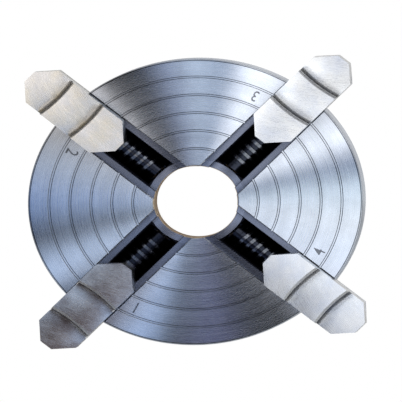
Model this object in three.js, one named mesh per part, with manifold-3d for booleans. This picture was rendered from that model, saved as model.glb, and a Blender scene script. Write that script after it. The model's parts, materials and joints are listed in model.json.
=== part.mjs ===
// Four-jaw independent lathe chuck, 200 mm across, for a short-taper cam-lock spindle nose.
// Millimetres, +Z up. The spindle axis lies along Y: the chuck faces -Y and seats on +Y.
//
// The chuck is drawn in a frame of its own first, with its seat plane at z = 0 and its
// front face towards +z. Each jaw station is drawn along +x and turned to its place, and
// the outer group then turns the whole chuck to face -Y.

import * as THREE from "three";
import { mergeVertices } from "three/addons/utils/BufferGeometryUtils.js";
import Module from "manifold-3d";

// Clearance left between neighbouring pieces.
const GAP = 0.3;

// Body: one cast and turned disc with a hub behind it.
const BODY_RADIUS = 100;
const FACE_Z = 72;
const RIM_BACK_Z = 24;
const RIM_CHAMFER = 1.5;
const HUB_RADIUS = 70;
const HUB_CHAMFER = 1;
const HUB_FILLET = 2;
const BORE_RADIUS = 25;
const BORE_CHAMFER = 1;

// Short taper recess in the seat, which locates the chuck on the spindle nose.
const RECESS_RADIUS = 31.75;
const RECESS_DEPTH = 13;
const RECESS_HALF_ANGLE = THREE.MathUtils.degToRad(7.125);

// Jaw slots: a tongue on each side wall guides the jaw.
const SLOT_HALF_WIDTH = 15;
const TONGUE_GAP_HALF_WIDTH = 10.5;
const TONGUE_FRONT_DEPTH = 9;
const TONGUE_BACK_DEPTH = 15;
const SLOT_DEPTH = 24.3;

// Jaws, with their tall step next to the work and their low step at the tip.
const JAW_HALF_WIDTH = SLOT_HALF_WIDTH - GAP;
const JAW_LENGTH = 73.5;
const JAW_NOSE_R = 59.3;
const JAW_NOSE_HALF_FLAT = 3.75;
const JAW_TIP_HALF_FLAT = 4.35;
const JAW_TOP_HEIGHTS = [38, 26, 14];
const JAW_STEP_STARTS = [25.8, 50.3];
const JAW_RISER_RADIUS = 85;

// Screws: left-hand trapezoidal thread, so that turning the key clockwise closes the jaw.
const SCREW_AXIS_DEPTH = 27;
const SCREW_INNER_R = 30.2;
const SCREW_OUTER_R = 98.5;
const SCREW_CORE_RADIUS = 8.2;
const SCREW_END_CHAMFER = 1;
const THREAD_START_R = 35;
const THREAD_PITCH = 5;
const THREAD_CREST_RADIUS = 10;
const THREAD_CREST_HALF_WIDTH = 0.95;
const THREAD_FLANK_SLOPE = 0.22;
const THREAD_FLANK_CLEARANCE = 0.45;
const CHANNEL_RADIUS = 10.4;
const CHANNEL_INNER_R = 29.7;
const NECK_RADIUS = 5.6;
const NECK_START_R = 79;
const NECK_END_R = 84.5;
const KEY_SOCKET_SIZE = 10;
const KEY_SOCKET_DEPTH = 11;

// Thrust bearings: round plugs let in from the back, each with a fork in its screw's neck.
const PLUG_RADIUS = 8.7;
const PLUG_SHOULDER_Z = 34.2;
const FORK_TOP_Z = 47.4;
const FORK_HALF_THICKNESS = 2.45;
const FORK_BORE_RADIUS = 6;
const SET_SCREW_RADIUS = 3;
const SET_SCREW_LENGTH = 7.5;
const SET_SCREW_HEX = 3;

// Cam-lock studs on their 82.6 mm pitch circle, and the cap screws that stop them turning.
const STUD_ANGLES = [90, 210, 330];
const STUD_CIRCLE_RADIUS = 41.3;
const STUD_RADIUS = 7.95;
const STUD_PROJECTION = 27;
const STUD_SEAT_DEPTH = 8;
const STUD_THREAD_RADIUS = 5.5;
const STUD_THREAD_END = 22;
const CAM_NOTCH_RADIUS = 9.5;
const CAM_NOTCH_OFFSET = 12.5;
const CAM_NOTCH_Z = -14;
const LOCK_OFFSET = 11.5;
const LOCK_HEAD_RADIUS = 5;
const LOCK_HEAD_HEIGHT = 6;
const LOCK_SHANK_RADIUS = 3;
const LOCK_END = 20;
const LOCK_HEX = 5;

// Jaw stations by number, with the angle that each jaw points to from +x.
const JAW_ANGLES = { 1: 225, 2: 135, 3: 45, 4: 315 };

// Sides used for round shapes.
const BODY_SIDES = 64;
const ROUND_SIDES = 16;
const SCREW_SIDES = 8;

// A nut thread keeps its clearance at the middle of each flat, so its corners lie further out.
const FLAT_TO_CORNER = 1 / Math.cos(Math.PI / SCREW_SIDES);
const NUT_CORE_RADIUS = (SCREW_CORE_RADIUS + GAP) * FLAT_TO_CORNER;
const NUT_CREST_RADIUS = (THREAD_CREST_RADIUS + GAP) * FLAT_TO_CORNER;

const SCREW_Z = FACE_Z - SCREW_AXIS_DEPTH;
const PLUG_R = (NECK_START_R + NECK_END_R) / 2;
const BEYOND = 1;

const CAST_STEEL = { color: 0xa9adb2, roughness: 0.34, metalness: 1 };
const GROUND_STEEL = { color: 0xc4c6c8, roughness: 0.28, metalness: 1 };
const BLACKENED_STEEL = { color: 0x3a3d42, roughness: 0.38, metalness: 1 };
const DARK_STEEL = { color: 0x55585c, roughness: 0.42, metalness: 1 };

const wasm = await Module();
wasm.setup();

// Turns a closed geometry into a solid that can be joined and cut.
function solid(geometry) {
  geometry.deleteAttribute("normal");
  geometry.deleteAttribute("uv");
  const merged = mergeVertices(geometry, 1e-4);
  const corners = merged.index.array;
  const faces = [];
  for (let i = 0; i < corners.length; i += 3) {
    const [a, b, c] = corners.slice(i, i + 3);
    if (a !== b && b !== c && c !== a) {
      faces.push(a, b, c);
    }
  }
  const vertProperties = new Float32Array(merged.attributes.position.array);
  return new wasm.Manifold(
    new wasm.Mesh({ numProp: 3, vertProperties, triVerts: new Uint32Array(faces) }),
  );
}

function toGeometry(shape) {
  const { vertProperties, triVerts } = shape.getMesh();
  const geometry = new THREE.BufferGeometry();
  geometry.setAttribute("position", new THREE.BufferAttribute(vertProperties, 3));
  geometry.setIndex(new THREE.BufferAttribute(triVerts, 1));
  geometry.computeVertexNormals();
  return geometry;
}

// A block between two opposite corners.
function block([x0, y0, z0], [x1, y1, z1]) {
  const box = new THREE.BoxGeometry(x1 - x0, y1 - y0, z1 - z0);
  return solid(box.translate((x0 + x1) / 2, (y0 + y1) / 2, (z0 + z1) / 2));
}

// A round bar along z through (x, y), from one height to another.
function barZ(radius, x, y, from, to, sides = ROUND_SIDES) {
  const bar = new THREE.CylinderGeometry(radius, radius, to - from, sides);
  return solid(bar.rotateX(Math.PI / 2).translate(x, y, (from + to) / 2));
}

// A round bar along x on a screw's axis, from one radius of the chuck to another.
function barOnScrewAxis(radius, from, to, sides = ROUND_SIDES) {
  const bar = new THREE.CylinderGeometry(radius, radius, to - from, sides);
  return solid(bar.rotateZ(-Math.PI / 2).translate((from + to) / 2, 0, SCREW_Z));
}

// A six-sided bar along z, measured across its flats.
function hexBarZ(acrossFlats, x, y, from, to) {
  return barZ(acrossFlats / Math.sqrt(3), x, y, from, to, 6);
}

// Turns a profile of [radius, height] points about the z axis.
function turned(profile, sides) {
  const points = profile.map(([r, z]) => new THREE.Vector2(r, z));
  return solid(new THREE.LatheGeometry(points, sides).rotateX(Math.PI / 2));
}

// Extrudes an outline in the x, y plane between two heights.
function prism(outline, from, to, curveSegments = 8) {
  const options = { depth: to - from, bevelEnabled: false, curveSegments };
  return solid(new THREE.ExtrudeGeometry(outline, options).translate(0, 0, from));
}

// The thread's helical ridge, as a straight bar wound round the screw's axis. Its flanks run
// on down to `rootRadius`, inside the core that the ridge is joined to. `spare` moves each
// flank out, for cutting a nut thread with that clearance.
function threadRidge(from, to, rootRadius, crestRadius, spare) {
  const firstTurn = Math.floor((from - THREAD_START_R) / THREAD_PITCH) - 1;
  const lastTurn = Math.ceil((to - THREAD_START_R) / THREAD_PITCH) + 1;
  const turns = lastTurn - firstTurn;
  const bar = new THREE.BoxGeometry(turns, 1, 1, turns * SCREW_SIDES, 1, 1);
  const places = bar.attributes.position;
  for (let i = 0; i < places.count; i += 1) {
    const turn = places.getX(i) + (firstTurn + lastTurn) / 2;
    const radius = places.getY(i) > 0 ? crestRadius : rootRadius;
    const halfWidth = THREAD_CREST_HALF_WIDTH + spare
      + (THREAD_CREST_RADIUS - radius) * THREAD_FLANK_SLOPE;
    const along = THREAD_START_R + turn * THREAD_PITCH + Math.sign(places.getZ(i)) * halfWidth;
    const angle = -2 * Math.PI * turn;
    places.setXYZ(i, along, radius * Math.cos(angle), SCREW_Z + radius * Math.sin(angle));
  }
  return solid(bar);
}

// Turns a shape about the chuck's axis by an angle in degrees.
function turnedTo(shape, degrees) {
  return shape.rotate([0, 0, degrees]);
}

function jawSlot() {
  const far = BODY_RADIUS + 10;
  const near = BORE_RADIUS - 10;
  const frontSlot = block(
    [near, -SLOT_HALF_WIDTH, FACE_Z - TONGUE_FRONT_DEPTH],
    [far, SLOT_HALF_WIDTH, FACE_Z + BEYOND],
  );
  const betweenTongues = block(
    [near, -TONGUE_GAP_HALF_WIDTH, FACE_Z - TONGUE_BACK_DEPTH - BEYOND],
    [far, TONGUE_GAP_HALF_WIDTH, FACE_Z - TONGUE_FRONT_DEPTH + BEYOND],
  );
  const backSlot = block(
    [near, -SLOT_HALF_WIDTH, FACE_Z - SLOT_DEPTH],
    [far, SLOT_HALF_WIDTH, FACE_Z - TONGUE_BACK_DEPTH],
  );
  const channel = barOnScrewAxis(CHANNEL_RADIUS, CHANNEL_INNER_R, far);
  return frontSlot.add(betweenTongues).add(backSlot).add(channel);
}

// The hole for a thrust bearing, with its set screw's hole on the joint line beside it.
function bearingHole() {
  const from = RIM_BACK_Z - BEYOND;
  const plugHole = barZ(PLUG_RADIUS + GAP, PLUG_R, 0, from, SCREW_Z);
  return plugHole.add(setScrewBar(SET_SCREW_RADIUS + GAP, from, SET_SCREW_LENGTH + 2 * GAP));
}

function setScrewBar(radius, from, length) {
  return barZ(radius, PLUG_R, PLUG_RADIUS + GAP, from, RIM_BACK_Z + length, 12);
}

// The stepped hole for one cam-lock stud and the hole for its lock screw.
function studHoles() {
  const stud = barZ(STUD_RADIUS + GAP, STUD_CIRCLE_RADIUS, 0, -BEYOND, STUD_SEAT_DEPTH + GAP);
  const thread = barZ(STUD_THREAD_RADIUS + GAP, STUD_CIRCLE_RADIUS, 0, 0, STUD_THREAD_END + GAP);
  const lockR = STUD_CIRCLE_RADIUS + LOCK_OFFSET;
  const head = barZ(LOCK_HEAD_RADIUS + GAP, lockR, 0, -BEYOND, LOCK_HEAD_HEIGHT + 2 * GAP);
  const shank = barZ(LOCK_SHANK_RADIUS + GAP, lockR, 0, 0, LOCK_END + GAP, 12);
  return stud.add(thread).add(head).add(shank);
}

function body() {
  const recessFloorRadius = RECESS_RADIUS - RECESS_DEPTH * Math.tan(RECESS_HALF_ANGLE);
  const profile = [
    [BORE_RADIUS, RECESS_DEPTH],
    [recessFloorRadius, RECESS_DEPTH],
    [RECESS_RADIUS, 0],
    [HUB_RADIUS - HUB_CHAMFER, 0],
    [HUB_RADIUS, HUB_CHAMFER],
    [HUB_RADIUS, RIM_BACK_Z - HUB_FILLET],
    [HUB_RADIUS + HUB_FILLET, RIM_BACK_Z],
    [BODY_RADIUS - RIM_CHAMFER, RIM_BACK_Z],
    [BODY_RADIUS, RIM_BACK_Z + RIM_CHAMFER],
    [BODY_RADIUS, FACE_Z - RIM_CHAMFER],
    [BODY_RADIUS - RIM_CHAMFER, FACE_Z],
    [BORE_RADIUS + BORE_CHAMFER, FACE_Z],
    [BORE_RADIUS, FACE_Z - BORE_CHAMFER],
    [BORE_RADIUS, RECESS_DEPTH],
  ];
  let shape = turned(profile, BODY_SIDES);
  const station = jawSlot().add(bearingHole());
  for (const angle of Object.values(JAW_ANGLES)) {
    shape = shape.subtract(turnedTo(station, angle));
  }
  const holes = studHoles();
  for (const angle of STUD_ANGLES) {
    shape = shape.subtract(turnedTo(holes, angle));
  }
  return toGeometry(shape);
}

// Everything outside a riser: the space over the next step down, behind a concave arc that
// bows towards the chuck's axis.
function spaceBeyondRiser(riserR, floorHeight) {
  const outline = new THREE.Shape();
  const halfAngle = Math.asin((JAW_HALF_WIDTH + BEYOND) / JAW_RISER_RADIUS);
  const centre = riserR + JAW_RISER_RADIUS;
  const far = JAW_NOSE_R + JAW_LENGTH + BEYOND;
  outline.absarc(centre, 0, JAW_RISER_RADIUS, Math.PI - halfAngle, Math.PI + halfAngle, false);
  outline.lineTo(far, -JAW_HALF_WIDTH - BEYOND);
  outline.lineTo(far, JAW_HALF_WIDTH + BEYOND);
  outline.closePath();
  return prism(outline, FACE_Z + floorHeight, FACE_Z + JAW_TOP_HEIGHTS[0] + BEYOND);
}

function jaw() {
  const nose = JAW_NOSE_R;
  const tip = JAW_NOSE_R + JAW_LENGTH;
  const noseCut = JAW_HALF_WIDTH - JAW_NOSE_HALF_FLAT;
  const tipCut = JAW_HALF_WIDTH - JAW_TIP_HALF_FLAT;
  const outline = new THREE.Shape([
    new THREE.Vector2(nose, -JAW_NOSE_HALF_FLAT),
    new THREE.Vector2(nose + noseCut, -JAW_HALF_WIDTH),
    new THREE.Vector2(tip - tipCut, -JAW_HALF_WIDTH),
    new THREE.Vector2(tip, -JAW_TIP_HALF_FLAT),
    new THREE.Vector2(tip, JAW_TIP_HALF_FLAT),
    new THREE.Vector2(tip - tipCut, JAW_HALF_WIDTH),
    new THREE.Vector2(nose + noseCut, JAW_HALF_WIDTH),
    new THREE.Vector2(nose, JAW_NOSE_HALF_FLAT),
  ]);
  const bottom = FACE_Z - SLOT_DEPTH + GAP;
  let shape = prism(outline, bottom, FACE_Z + JAW_TOP_HEIGHTS[0]);
  JAW_STEP_STARTS.forEach((start, step) => {
    shape = shape.subtract(spaceBeyondRiser(nose + start, JAW_TOP_HEIGHTS[step + 1]));
  });
  for (const side of [-1, 1]) {
    const edges = [side * (TONGUE_GAP_HALF_WIDTH - GAP), side * (JAW_HALF_WIDTH + BEYOND)];
    shape = shape.subtract(block(
      [nose - BEYOND, Math.min(...edges), FACE_Z - TONGUE_BACK_DEPTH - GAP],
      [tip + BEYOND, Math.max(...edges), FACE_Z - TONGUE_FRONT_DEPTH + GAP],
    ));
  }
  const nutBore = barOnScrewAxis(NUT_CORE_RADIUS, nose - BEYOND, tip + BEYOND, SCREW_SIDES);
  const nutThread = threadRidge(
    nose, tip, NUT_CORE_RADIUS - BEYOND, NUT_CREST_RADIUS, THREAD_FLANK_CLEARANCE,
  );
  return toGeometry(shape.subtract(nutBore.add(nutThread)));
}

function screw() {
  const profile = [
    [0, SCREW_INNER_R],
    [SCREW_CORE_RADIUS - SCREW_END_CHAMFER, SCREW_INNER_R],
    [SCREW_CORE_RADIUS, SCREW_INNER_R + SCREW_END_CHAMFER],
    [SCREW_CORE_RADIUS, NECK_START_R],
    [NECK_RADIUS, NECK_START_R],
    [NECK_RADIUS, NECK_END_R],
    [SCREW_CORE_RADIUS, NECK_END_R],
    [SCREW_CORE_RADIUS, SCREW_OUTER_R],
    [0, SCREW_OUTER_R],
  ];
  const points = profile.map(([r, along]) => new THREE.Vector2(r, along));
  const core = solid(
    new THREE.LatheGeometry(points, SCREW_SIDES).rotateZ(-Math.PI / 2).translate(0, 0, SCREW_Z),
  );
  const threadedLength = barOnScrewAxis(
    THREAD_CREST_RADIUS + BEYOND, THREAD_START_R, NECK_START_R, SCREW_SIDES,
  );
  const ridge = threadRidge(
    THREAD_START_R, NECK_START_R, SCREW_CORE_RADIUS - BEYOND, THREAD_CREST_RADIUS, 0,
  ).intersect(threadedLength);
  const half = KEY_SOCKET_SIZE / 2;
  const socket = block(
    [SCREW_OUTER_R - KEY_SOCKET_DEPTH, -half, SCREW_Z - half],
    [SCREW_OUTER_R + BEYOND, half, SCREW_Z + half],
  );
  return toGeometry(core.add(ridge).subtract(socket));
}

function thrustBearing() {
  const back = RIM_BACK_Z + GAP;
  const aboveShoulder = [PLUG_SHOULDER_Z, FORK_TOP_Z + BEYOND];
  let shape = barZ(PLUG_RADIUS, PLUG_R, 0, back, FORK_TOP_Z);
  for (const side of [-1, 1]) {
    const edges = [
      PLUG_R + side * FORK_HALF_THICKNESS,
      PLUG_R + side * (PLUG_RADIUS + BEYOND),
    ];
    shape = shape.subtract(block(
      [Math.min(...edges), -PLUG_RADIUS - BEYOND, aboveShoulder[0]],
      [Math.max(...edges), PLUG_RADIUS + BEYOND, aboveShoulder[1]],
    ));
  }
  const ends = [PLUG_R - PLUG_RADIUS - BEYOND, PLUG_R + PLUG_RADIUS + BEYOND];
  const aboveNeck = block(
    [ends[0], -FORK_BORE_RADIUS, SCREW_Z],
    [ends[1], FORK_BORE_RADIUS, aboveShoulder[1]],
  );
  return toGeometry(
    shape
      .subtract(barOnScrewAxis(FORK_BORE_RADIUS, ends[0], ends[1]))
      .subtract(aboveNeck)
      .subtract(setScrewBar(SET_SCREW_RADIUS + GAP, RIM_BACK_Z, SET_SCREW_LENGTH + 2 * GAP)),
  );
}

function bearingSetScrew() {
  const back = RIM_BACK_Z + GAP;
  const centreY = PLUG_RADIUS + GAP;
  const hex = hexBarZ(SET_SCREW_HEX, PLUG_R, centreY, back - BEYOND, back + SET_SCREW_HEX);
  return toGeometry(setScrewBar(SET_SCREW_RADIUS, back, SET_SCREW_LENGTH).subtract(hex));
}

// A cam-lock stud, with the notch that the spindle's cam pulls on and the flute that its
// lock screw passes through.
function camlockStud() {
  const r = STUD_CIRCLE_RADIUS;
  const pin = barZ(STUD_RADIUS, r, 0, -STUD_PROJECTION, STUD_SEAT_DEPTH);
  const thread = barZ(STUD_THREAD_RADIUS, r, 0, STUD_SEAT_DEPTH - BEYOND, STUD_THREAD_END);
  const cam = new THREE.CylinderGeometry(
    CAM_NOTCH_RADIUS, CAM_NOTCH_RADIUS, 2 * (STUD_RADIUS + BEYOND), ROUND_SIDES,
  );
  const notch = solid(cam.rotateZ(Math.PI / 2).translate(r, CAM_NOTCH_OFFSET, CAM_NOTCH_Z));
  const flute = barZ(
    LOCK_HEAD_RADIUS + GAP, r + LOCK_OFFSET, 0, -STUD_PROJECTION - BEYOND, STUD_SEAT_DEPTH + BEYOND,
  );
  return toGeometry(pin.add(thread).subtract(notch).subtract(flute));
}

function studLockScrew() {
  const r = STUD_CIRCLE_RADIUS + LOCK_OFFSET;
  const head = barZ(LOCK_HEAD_RADIUS, r, 0, GAP, GAP + LOCK_HEAD_HEIGHT);
  const shank = barZ(LOCK_SHANK_RADIUS, r, 0, LOCK_HEAD_HEIGHT, LOCK_END, 12);
  const hex = hexBarZ(LOCK_HEX, r, 0, GAP - BEYOND, GAP + LOCK_HEAD_HEIGHT / 2);
  return toGeometry(head.add(shank).subtract(hex));
}

function piece(name, geometry, finish) {
  const mesh = new THREE.Mesh(geometry, new THREE.MeshStandardMaterial(finish));
  mesh.name = name;
  return mesh;
}

// A group turned about the chuck's axis, holding the pieces of one station.
function station(degrees, pieces) {
  const group = new THREE.Group();
  group.rotation.z = THREE.MathUtils.degToRad(degrees);
  group.add(...pieces);
  return group;
}

const chuck = new THREE.Group();
chuck.name = "lathe_chuck";
chuck.rotation.x = Math.PI / 2;
chuck.add(piece("body", body(), CAST_STEEL));

for (const [number, angle] of Object.entries(JAW_ANGLES)) {
  chuck.add(station(angle, [
    piece(`jaw_${number}`, jaw(), GROUND_STEEL),
    piece(`screw_${number}`, screw(), BLACKENED_STEEL),
    piece(`thrust_bearing_${number}`, thrustBearing(), DARK_STEEL),
    piece(`bearing_set_screw_${number}`, bearingSetScrew(), DARK_STEEL),
  ]));
}

STUD_ANGLES.forEach((angle, index) => {
  chuck.add(station(angle, [
    piece(`camlock_stud_${index + 1}`, camlockStud(), DARK_STEEL),
    piece(`stud_lock_screw_${index + 1}`, studLockScrew(), DARK_STEEL),
  ]));
});

export default chuck;
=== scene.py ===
"""Builds the finished look of an independent four-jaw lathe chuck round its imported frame.

The chuck is modelled in a frame of its own, with its seat plane at z = 0 and its face
towards +z. Each jaw station is modelled along +x and turned to its place, and the whole
is then turned to face -Y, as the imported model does.
"""

import json
import math

import bpy
from bpy.props import FloatProperty, FloatVectorProperty, IntProperty, PointerProperty
from mathutils import Matrix, Vector


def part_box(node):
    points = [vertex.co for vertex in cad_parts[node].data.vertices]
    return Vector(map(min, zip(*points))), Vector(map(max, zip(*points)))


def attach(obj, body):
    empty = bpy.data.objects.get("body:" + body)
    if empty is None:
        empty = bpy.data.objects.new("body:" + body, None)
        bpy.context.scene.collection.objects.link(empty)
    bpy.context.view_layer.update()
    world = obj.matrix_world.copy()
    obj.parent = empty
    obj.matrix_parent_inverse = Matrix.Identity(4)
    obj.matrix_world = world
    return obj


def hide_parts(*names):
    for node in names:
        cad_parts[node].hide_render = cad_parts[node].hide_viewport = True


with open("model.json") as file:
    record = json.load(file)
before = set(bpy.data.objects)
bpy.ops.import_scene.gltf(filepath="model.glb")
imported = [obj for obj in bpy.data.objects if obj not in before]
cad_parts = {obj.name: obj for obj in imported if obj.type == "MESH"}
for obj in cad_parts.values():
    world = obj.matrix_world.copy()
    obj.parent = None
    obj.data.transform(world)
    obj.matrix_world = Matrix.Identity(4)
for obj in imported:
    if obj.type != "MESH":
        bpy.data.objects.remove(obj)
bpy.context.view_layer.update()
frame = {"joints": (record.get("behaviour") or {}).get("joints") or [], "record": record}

bl_info = {
    "name": "Lathe Chuck",
    "version": (1, 0, 0),
    "blender": (4, 5, 0),
    "location": "View3D > Sidebar > Chuck",
    "description": "Models the pieces of an independent four-jaw lathe chuck",
    "category": "Add Mesh",
}

MM = 0.001

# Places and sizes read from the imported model.
RECORD = frame["record"]
MOUNTS = {mount["name"]: Vector(mount["pos_m"]) for mount in RECORD["mounts"]}
JOINTS = {joint["name"]: joint for joint in frame["joints"]}
FACE_Z = -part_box("body")[0].y
BODY_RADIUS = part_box("body")[1].x
SCREW_Z = -JOINTS["screw_1_spin"]["pos_m"][1]
STUD_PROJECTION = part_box("camlock_stud_1")[1].y
JAW_NOSE_R = Vector((MOUNTS["jaw_nose_1"].x, MOUNTS["jaw_nose_1"].z)).length
JAW_TOP = -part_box("jaw_1")[0].y
SOCKET_FLOOR_R = Vector((MOUNTS["key_socket_1"].x, MOUNTS["key_socket_1"].z)).length

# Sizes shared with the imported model.
GAP = 0.3 * MM
BEYOND = 1 * MM
RIM_BACK_Z = 24 * MM
HUB_RADIUS = 70 * MM
BORE_RADIUS = 25 * MM
RECESS_RADIUS = 31.75 * MM
RECESS_DEPTH = 13 * MM
RECESS_HALF_ANGLE = math.radians(7.125)
SLOT_HALF_WIDTH = 15 * MM
TONGUE_HALF_GAP = 10.5 * MM
TONGUE_FRONT_DEPTH = 9 * MM
TONGUE_BACK_DEPTH = 15 * MM
SLOT_DEPTH = 24.3 * MM
CHANNEL_RADIUS = 10.4 * MM
CHANNEL_INNER_R = 29.7 * MM
JAW_HALF_WIDTH = SLOT_HALF_WIDTH - GAP
JAW_LENGTH = 73.5 * MM
JAW_NOSE_HALF_FLAT = 3.75 * MM
JAW_TIP_HALF_FLAT = 4.35 * MM
JAW_STEP_DROP = 12 * MM
JAW_STEP_STARTS = (25.8 * MM, 50.3 * MM)
RISER_RADIUS = 85 * MM
CHAMFER_SLOPE = 0.65
SCREW_INNER_R = 30.2 * MM
SCREW_OUTER_R = 98.5 * MM
CORE_RADIUS = 8.2 * MM
CREST_RADIUS = 10 * MM
CREST_HALF_WIDTH = 0.95 * MM
ROOT_HALF_WIDTH = 1.35 * MM
THREAD_PITCH = 5 * MM
THREAD_START_R = 35 * MM
NECK_RADIUS = 5.6 * MM
NECK_START_R = 79 * MM
NECK_END_R = 84.5 * MM
KEY_SOCKET_HALF = 5 * MM
PLUG_RADIUS = 8.7 * MM
PLUG_R = (NECK_START_R + NECK_END_R) / 2
PLUG_SHOULDER_Z = 34.2 * MM
FORK_TOP_Z = 47.4 * MM
FORK_HALF_THICKNESS = 2.45 * MM
FORK_BORE_RADIUS = 6 * MM
SET_SCREW_RADIUS = 3 * MM
SET_SCREW_LENGTH = 7.5 * MM
STUD_CIRCLE_RADIUS = 41.3 * MM
STUD_ANGLES = (90, 210, 330)
STUD_RADIUS = 7.95 * MM
STUD_SEAT_DEPTH = 8 * MM
STUD_THREAD_RADIUS = 5.5 * MM
STUD_THREAD_END = 22 * MM
LOCK_OFFSET = 11.5 * MM
LOCK_HEAD_RADIUS = 5 * MM
LOCK_HEAD_HEIGHT = 6 * MM
LOCK_SHANK_RADIUS = 3 * MM
LOCK_END = 20 * MM

CHUCK_TO_ROW = Matrix.Rotation(math.pi / 2, 4, "X")
# Lays a piece modelled along z out along x, on the line of a screw.
ALONG_X = Matrix(((0, 0, 1, 0), (1, 0, 0, 0), (0, 1, 0, 0), (0, 0, 0, 1)))
ON_SCREW_AXIS = Matrix.Translation((0, 0, SCREW_Z)) @ ALONG_X

JAW_NUMBERS = (1, 2, 3, 4)
JAW_ANGLES = {
    number: math.atan2(*reversed(JOINTS[f"jaw_{number}_slide"]["axis"][::2]))
    for number in JAW_NUMBERS
}


def linear(hex_colour):
    """Turns an sRGB hex colour such as 8A8D91 into linear red, green and blue."""
    channels = [int(hex_colour[i : i + 2], 16) / 255 for i in (0, 2, 4)]
    return tuple(
        c / 12.92 if c <= 0.04045 else ((c + 0.055) / 1.055) ** 2.4 for c in channels
    )


# ---------------------------------------------------------------- settings


class ChuckBodySettings(bpy.types.PropertyGroup):
    ring_count: IntProperty(
        name="Rings", description="Engraved centring rings on the face", default=5, min=0
    )
    ring_step: FloatProperty(
        name="Ring step", description="Distance from ring to ring", default=12.5 * MM,
        unit="LENGTH",
    )
    first_ring: FloatProperty(
        name="First ring", description="Radius of the smallest ring", default=37.5 * MM,
        unit="LENGTH",
    )
    ring_width: FloatProperty(
        name="Ring width", description="Width of an engraved ring", default=1.7 * MM,
        unit="LENGTH",
    )
    ring_depth: FloatProperty(
        name="Ring depth", description="Depth of an engraved ring", default=0.45 * MM,
        unit="LENGTH",
    )
    slot_chamfer: FloatProperty(
        name="Slot chamfer", description="Chamfer along the edges of a jaw slot",
        default=0.5 * MM, unit="LENGTH",
    )
    figure_height: FloatProperty(
        name="Figure height", description="Height of the engraved jaw numbers",
        default=7.6 * MM, unit="LENGTH",
    )
    figure_depth: FloatProperty(
        name="Figure depth", description="Depth of the engraved jaw numbers",
        default=0.75 * MM, unit="LENGTH",
    )
    figure_circle: FloatProperty(
        name="Figure circle", description="Radius that the jaw numbers stand on",
        default=81.7 * MM, unit="LENGTH",
    )
    figure_turn: FloatProperty(
        name="Figure turn", description="Angle from a jaw's middle to its number",
        default=math.radians(16.2), subtype="ANGLE",
    )


class ChuckJawSettings(bpy.types.PropertyGroup):
    edge_bevel: FloatProperty(
        name="Edge bevel", description="Broken edge all round a jaw", default=0.6 * MM,
        unit="LENGTH",
    )
    riser_chamfer: FloatProperty(
        name="Riser chamfer", description="Width of the chamfer at the top of a riser",
        default=1.5 * MM, unit="LENGTH",
    )
    relief_width: FloatProperty(
        name="Relief width", description="Width of the groove at the foot of a riser",
        default=2.2 * MM, unit="LENGTH",
    )
    relief_depth: FloatProperty(
        name="Relief depth", description="Depth of the groove at the foot of a riser",
        default=2.2 * MM, unit="LENGTH",
    )


class ChuckFinishSettings(bpy.types.PropertyGroup):
    iron: FloatVectorProperty(
        name="Turned iron", description="Colour of the turned body", size=3,
        subtype="COLOR", default=linear("C3C7CE"), min=0, max=1,
    )
    # The slots' colour is darker partly for their finish from milling and partly as painted
    # shade.
    milled_iron: FloatVectorProperty(
        name="Milled iron", description="Colour of the milled slots", size=3,
        subtype="COLOR", default=linear("767B8A"), min=0, max=1,
    )
    # The black that paints shade deep in the slots, in the ring walls, in the jaws' grooves
    # and on their chamfers. The engraved figures take it too.
    slot_black: FloatVectorProperty(
        name="Slot black", description="Oily black deep in the slots", size=3,
        subtype="COLOR", default=linear("14141A"), min=0, max=1,
    )
    bore_tan: FloatVectorProperty(
        name="Bore tan", description="Oil film on the bore", size=3,
        subtype="COLOR", default=linear("C0A684"), min=0, max=1,
    )
    jaw_steel: FloatVectorProperty(
        name="Ground steel", description="Colour of the ground jaws", size=3,
        subtype="COLOR", default=linear("D6D5D3"), min=0, max=1,
    )
    screw_black: FloatVectorProperty(
        name="Blackened steel", description="Colour of the screws' black finish", size=3,
        subtype="COLOR", default=linear("2E3038"), min=0, max=1,
    )
    screw_bright: FloatVectorProperty(
        name="Worn steel", description="Bright steel on the worn thread crests", size=3,
        subtype="COLOR", default=linear("D8D9DC"), min=0, max=1,
    )
    # How strongly painted shade darkens the ring walls, and how dark the engraved figures are.
    grime: FloatProperty(
        name="Grime", description="Strength of the dirt in the rings and figures",
        default=0.75, min=0, max=1, subtype="FACTOR",
    )
    fitting_steel: FloatVectorProperty(
        name="Fitting steel", description="Colour of the studs and small screws", size=3,
        subtype="COLOR", default=linear("7C7F84"), min=0, max=1,
    )


class ChuckStageSettings(bpy.types.PropertyGroup):
    floor_drop: FloatProperty(
        name="Floor drop", description="Depth of the floor below the spindle axis",
        default=0.21, unit="LENGTH",
    )
    view_height: FloatProperty(
        name="View height", description="Height that the camera takes in",
        default=0.281, unit="LENGTH",
    )
    squash: FloatProperty(
        name="Squash", description="Height over width of a circle as the camera draws it",
        default=0.854, min=0.5, max=1, subtype="FACTOR",
    )
    panel_distance: FloatProperty(
        name="Panel distance", description="Distance of the light panel from the face",
        default=0.16, unit="LENGTH",
    )
    fill: FloatProperty(
        name="Fill", description="Strength of the room's light from the front",
        default=0.045, min=0,
    )
    back_fill: FloatProperty(
        name="Back fill", description="Strength of the room's light from behind",
        default=0.9, min=0,
    )
    roll: FloatProperty(
        name="Roll", description="Anticlockwise turn of the chuck in the camera's view",
        default=math.radians(3), subtype="ANGLE",
    )


class ChuckSettings(bpy.types.PropertyGroup):
    body: PointerProperty(type=ChuckBodySettings)
    jaw: PointerProperty(type=ChuckJawSettings)
    finish: PointerProperty(type=ChuckFinishSettings)
    stage: PointerProperty(type=ChuckStageSettings)


# ---------------------------------------------------------------- modelling


def select_only(piece):
    bpy.ops.object.select_all(action="DESELECT")
    piece.hide_set(False)
    piece.select_set(True)
    bpy.context.view_layer.objects.active = piece


def start_editing(piece):
    select_only(piece)
    bpy.ops.object.mode_set(mode="EDIT")
    bpy.ops.mesh.select_all(action="SELECT")


def stop_editing():
    bpy.ops.object.mode_set(mode="OBJECT")


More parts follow.
